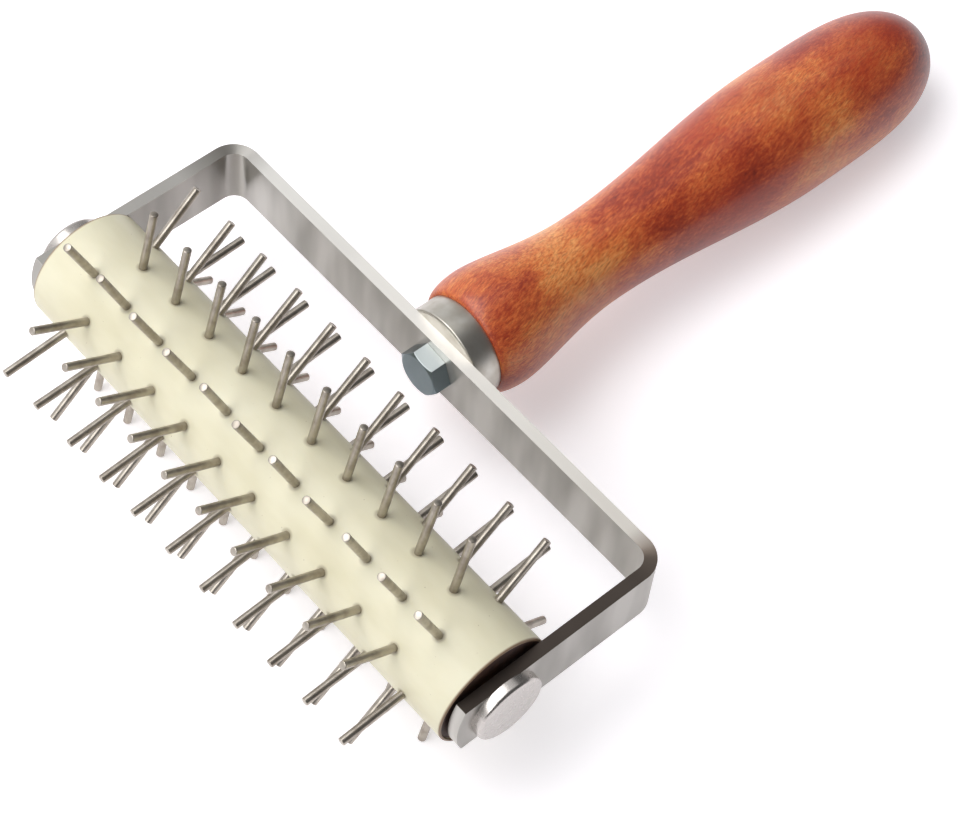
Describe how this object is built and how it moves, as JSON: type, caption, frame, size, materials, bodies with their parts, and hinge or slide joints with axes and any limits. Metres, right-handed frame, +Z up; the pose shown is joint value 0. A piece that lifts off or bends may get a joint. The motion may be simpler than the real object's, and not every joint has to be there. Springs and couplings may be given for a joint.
{
  "type": "dough docker",
  "caption": "Hand roller set with rows of blunt steel pins, turning in a bent flat-bar yoke with a turned wooden handle, for pricking sheets of dough.",
  "frame": {"origin": "on the table, under the middle of the docker's overall box, lying on two rows of pins and the belly of the handle", "axes": "+X along the roller's axle, +Y from the roller towards the end of the handle, +Z up"},
  "size_m": [0.1564, 0.2376, 0.0615],
  "materials": {
    "cream_plastic": "turned or moulded cream plastic, satin",
    "pin_steel": "drawn steel wire, cut ends, slightly dulled",
    "bright_steel": "nickel-bright flat steel, smooth, with small scratches",
    "hard_fibre": "red-brown hard fibre sheet, dull",
    "bronze": "sintered bronze bush",
    "zinc": "bright zinc plate",
    "lacquered_wood": "turned hardwood, red-brown stain under gloss lacquer"
  },
  "bodies": {
    "grip": {"yoke": "bright_steel", "axle_rod": "bright_steel", "left_axle_cap": "bright_steel", "right_axle_cap": "bright_steel", "handle_screw": "zinc", "end_washer": "bright_steel", "ferrule": "bright_steel", "handle": "lacquered_wood"},
    "pin_roller": {"roller": "cream_plastic", "left_end_disc": "hard_fibre", "right_end_disc": "hard_fibre", "left_bush": "bronze", "right_bush": "bronze", "pin_row_01": "pin_steel", "pin_row_02": "pin_steel", "pin_row_03": "pin_steel", "pin_row_04": "pin_steel", "pin_row_05": "pin_steel", "pin_row_06": "pin_steel", "pin_row_07": "pin_steel", "pin_row_08": "pin_steel", "pin_row_09": "pin_steel", "pin_row_10": "pin_steel"}
  },
  "joints": [
    {"name": "roller_spin", "type": "hinge", "parent": "grip", "child": "pin_roller", "pos_m": [0, -0.08683, 0.03074], "axis": [1, 0, 0], "continuous": true}
  ]
}
